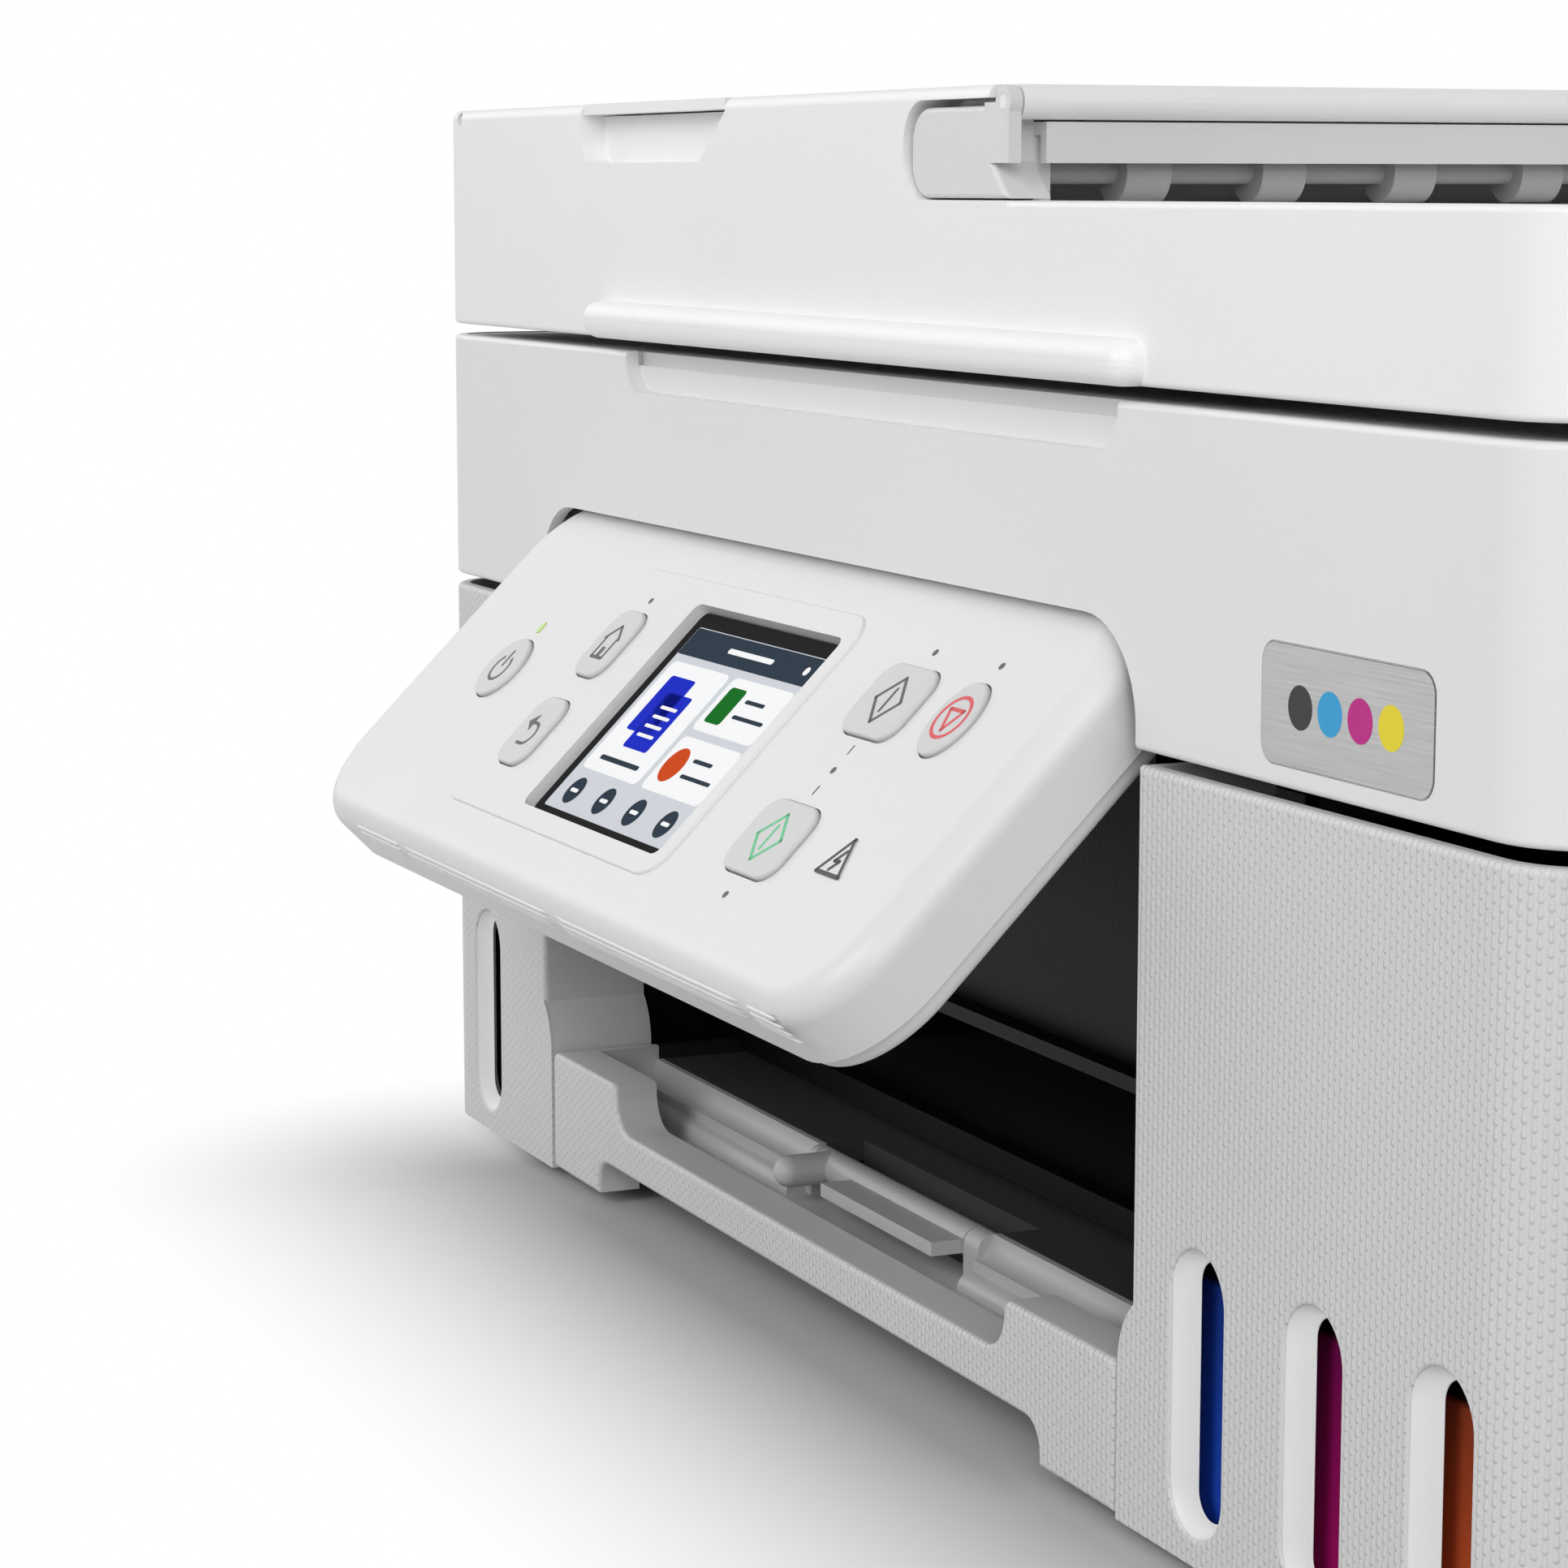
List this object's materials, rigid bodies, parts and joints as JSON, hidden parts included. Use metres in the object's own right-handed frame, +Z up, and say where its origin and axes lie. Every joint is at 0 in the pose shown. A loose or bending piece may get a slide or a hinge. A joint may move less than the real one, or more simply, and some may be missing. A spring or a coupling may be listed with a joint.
{
  "type": "inkjet printer",
  "caption": "multifunction ink-tank printer with document feeder, flatbed scanner, tilting control panel and pull-out paper cassette",
  "frame": {"origin": "on the floor under the middle of the outline, with the control panel tilted out", "axes": "+X to the right seen from the front, +Y to the back, +Z up; front towards -Y"},
  "size_m": [0.416, 0.4204, 0.217],
  "materials": {
    "white_case": "moulded white plastic, fine grain",
    "white_textured": "moulded white plastic with a raised fine pattern",
    "light_grey": "moulded light grey plastic",
    "panel_white": "smooth satin white plastic",
    "key_white": "satin white plastic",
    "key_grey": "satin grey plastic",
    "black_frame": "moulded black plastic",
    "dark_grey": "moulded dark grey plastic",
    "tray_grey": "moulded mid grey plastic",
    "tank_black": "translucent tank filled with black ink",
    "tank_cyan": "translucent tank filled with cyan ink",
    "tank_magenta": "translucent tank filled with magenta ink",
    "tank_yellow": "translucent tank filled with yellow ink",
    "roller_rubber": "ground rubber",
    "foot_rubber": "moulded rubber",
    "steel": "rolled steel",
    "display": "black display glass",
    "lamp_green": "lit light guide",
    "lamp_amber": "light guide",
    "glass_clear": "float glass",
    "badge_metal": "brushed and anodised",
    "board_green": "solder mask",
    "pad_white": "white foam with a film face"
  },
  "bodies": {
    "base": {"base_tub": "dark_grey", "left_side_cover": "white_textured", "right_side_cover": "white_textured", "rear_cover": "white_case", "feet": "foot_rubber", "inner_frame": "black_frame", "carriage_rail": "steel", "platen": "black_frame", "ink_tank_black": "tank_black", "ink_tank_cyan": "tank_cyan", "ink_tank_magenta": "tank_magenta", "ink_tank_yellow": "tank_yellow", "drive_belt": "roller_rubber", "carriage_motor": "steel", "purge_unit": "dark_grey", "main_board": "board_green", "power_supply": "dark_grey", "power_inlet": "black_frame", "panel_bracket": "black_frame", "hinge_pins": "steel"},
    "cap_black": {"tank_cap_black": "dark_grey"},
    "cap_cyan": {"tank_cap_cyan": "tank_cyan"},
    "cap_magenta": {"tank_cap_magenta": "tank_magenta"},
    "cap_yellow": {"tank_cap_yellow": "tank_yellow"},
    "carriage_body": {"carriage": "black_frame", "print_heads": "dark_grey"},
    "pulley_drive": {"belt_pulley_drive": "steel"},
    "pulley_idle": {"belt_pulley_idle": "steel"},
    "feed": {"feed_roller": "roller_rubber"},
    "exit": {"exit_roller": "roller_rubber"},
    "cassette": {"paper_cassette": "white_textured", "cassette_cover": "tray_grey"},
    "guide_left": {"paper_guide_left": "tray_grey"},
    "guide_right": {"paper_guide_right": "tray_grey"},
    "support": {"output_support": "light_grey"},
    "panel": {"panel_front": "panel_white", "panel_back": "light_grey", "lcd_module": "display", "power_lamp": "lamp_green", "alarm_lamp": "lamp_amber"},
    "key_power": {"power_button": "key_white"},
    "key_home": {"home_button": "key_white"},
    "key_back": {"back_button": "key_white"},
    "key_start_black": {"start_black_button": "key_white"},
    "key_stop": {"stop_button": "key_white"},
    "key_start_colour": {"start_colour_button": "key_white"},
    "scanner": {"scanner_housing": "white_case", "scanner_top": "light_grey", "platen_glass": "glass_clear", "badge_plate": "badge_metal", "lid_pins": "steel"},
    "sensor": {"scan_sensor": "black_frame"},
    "lid": {"document_cover": "white_case", "cover_backing": "pad_white", "adf_frame": "light_grey"},
    "feeder_cover": {"adf_cover": "white_case"},
    "tray": {"document_tray": "white_case"},
    "feeder_exit": {"adf_exit_roller": "roller_rubber"},
    "feeder_pickup": {"adf_pickup_roller": "roller_rubber"}
  },
  "joints": [
    {"name": "cap_black_hinge", "type": "hinge", "parent": "base", "child": "cap_black", "pos_m": [-0.1806, -0.08891, 0.084], "axis": [-1, 0, 0], "range_deg": [0, 100]},
    {"name": "cap_cyan_hinge", "type": "hinge", "parent": "base", "child": "cap_cyan", "pos_m": [0.1219, -0.08891, 0.084], "axis": [-1, 0, 0], "range_deg": [0, 100]},
    {"name": "cap_magenta_hinge", "type": "hinge", "parent": "base", "child": "cap_magenta", "pos_m": [0.1538, -0.08891, 0.084], "axis": [-1, 0, 0], "range_deg": [0, 100]},
    {"name": "cap_yellow_hinge", "type": "hinge", "parent": "base", "child": "cap_yellow", "pos_m": [0.1857, -0.08891, 0.084], "axis": [-1, 0, 0], "range_deg": [0, 100]},
    {"name": "carriage_slide", "type": "slide", "parent": "base", "child": "carriage_body", "axis": [1, 0, 0], "range_m": [-0.28, 0]},
    {"name": "pulley_drive_spin", "type": "hinge", "parent": "base", "child": "pulley_drive", "pos_m": [0.186, 0.09219, 0.0955], "axis": [0, 0, 1], "continuous": true},
    {"name": "pulley_idle_spin", "type": "hinge", "parent": "base", "child": "pulley_idle", "pos_m": [-0.186, 0.09219, 0.0955], "axis": [0, 0, 1], "continuous": true},
    {"name": "feed_spin", "type": "hinge", "parent": "base", "child": "feed", "pos_m": [-0.022, 0.09219, 0.054], "axis": [1, 0, 0], "continuous": true},
    {"name": "exit_spin", "type": "hinge", "parent": "base", "child": "exit", "pos_m": [-0.022, 0.02419, 0.054], "axis": [1, 0, 0], "continuous": true},
    {"name": "cassette_slide", "type": "slide", "parent": "base", "child": "cassette", "axis": [0, -1, 0], "range_m": [0, 0.22]},
    {"name": "guide_left_slide", "type": "slide", "parent": "cassette", "child": "guide_left", "axis": [1, 0, 0], "range_m": [0, 0.055]},
    {"name": "guide_right_slide", "type": "slide", "parent": "cassette", "child": "guide_right", "axis": [1, 0, 0], "range_m": [-0.055, 0]},
    {"name": "support_hinge", "type": "hinge", "parent": "cassette", "child": "support", "pos_m": [-0.022, -0.13781, 0.0205], "axis": [-1, 0, 0], "range_deg": [0, 90]},
    {"name": "panel_tilt", "type": "hinge", "parent": "base", "child": "panel", "pos_m": [-0.022, -0.15181, 0.1316], "axis": [1, 0, 0], "range_deg": [0, 45]},
    {"name": "key_power_press", "type": "slide", "parent": "panel", "child": "key_power", "axis": [0, 0.7071, -0.7071], "range_m": [0, 0.0008], "stiffness_N_per_m": 300, "springref_m": -0.001},
    {"name": "key_home_press", "type": "slide", "parent": "panel", "child": "key_home", "axis": [0, 0.7071, -0.7071], "range_m": [0, 0.0008], "stiffness_N_per_m": 300, "springref_m": -0.001},
    {"name": "key_back_press", "type": "slide", "parent": "panel", "child": "key_back", "axis": [0, 0.7071, -0.7071], "range_m": [0, 0.0008], "stiffness_N_per_m": 300, "springref_m": -0.001},
    {"name": "key_start_black_press", "type": "slide", "parent": "panel", "child": "key_start_black", "axis": [0, 0.7071, -0.7071], "range_m": [0, 0.0008], "stiffness_N_per_m": 300, "springref_m": -0.001},
    {"name": "key_stop_press", "type": "slide", "parent": "panel", "child": "key_stop", "axis": [0, 0.7071, -0.7071], "range_m": [0, 0.0008], "stiffness_N_per_m": 300, "springref_m": -0.001},
    {"name": "key_start_colour_press", "type": "slide", "parent": "panel", "child": "key_start_colour", "axis": [0, 0.7071, -0.7071], "range_m": [0, 0.0008], "stiffness_N_per_m": 300, "springref_m": -0.001},
    {"name": "scanner_hinge", "type": "hinge", "parent": "base", "child": "scanner", "pos_m": [0, 0.19819, 0.1188], "axis": [-1, 0, 0], "range_deg": [0, 45]},
    {"name": "sensor_slide", "type": "slide", "parent": "scanner", "child": "sensor", "axis": [1, 0, 0], "range_m": [0, 0.3]},
    {"name": "lid_hinge", "type": "hinge", "parent": "scanner", "child": "lid", "pos_m": [0, 0.19819, 0.17165], "axis": [-1, 0, 0], "range_deg": [0, 75]},
    {"name": "feeder_cover_hinge", "type": "hinge", "parent": "lid", "child": "feeder_cover", "pos_m": [-0.1924, 0.01919, 0.2152], "axis": [0, -1, 0], "range_deg": [0, 80]},
    {"name": "tray_hinge", "type": "hinge", "parent": "lid", "child": "tray", "pos_m": [0.0558, 0.01919, 0.2143], "axis": [0, 1, 0], "range_deg": [0, 150]},
    {"name": "feeder_exit_spin", "type": "hinge", "parent": "lid", "child": "feeder_exit", "pos_m": [0.047, 0.01919, 0.2038], "axis": [0, 1, 0], "continuous": true},
    {"name": "feeder_pickup_spin", "type": "hinge", "parent": "lid", "child": "feeder_pickup", "pos_m": [0, 0.01919, 0.2015], "axis": [0, 1, 0], "continuous": true}
  ],
  "couplings": [
    {"joint": "pulley_drive_spin", "follows": "carriage_slide", "rad_per_m": 151.51},
    {"joint": "pulley_idle_spin", "follows": "carriage_slide", "rad_per_m": 151.51},
    {"joint": "exit_spin", "follows": "feed_spin", "ratio": 1.1667},
    {"joint": "guide_right_slide", "follows": "guide_left_slide", "ratio": -1},
    {"joint": "feeder_exit_spin", "follows": "feeder_pickup_spin", "ratio": 1.8}
  ]
}
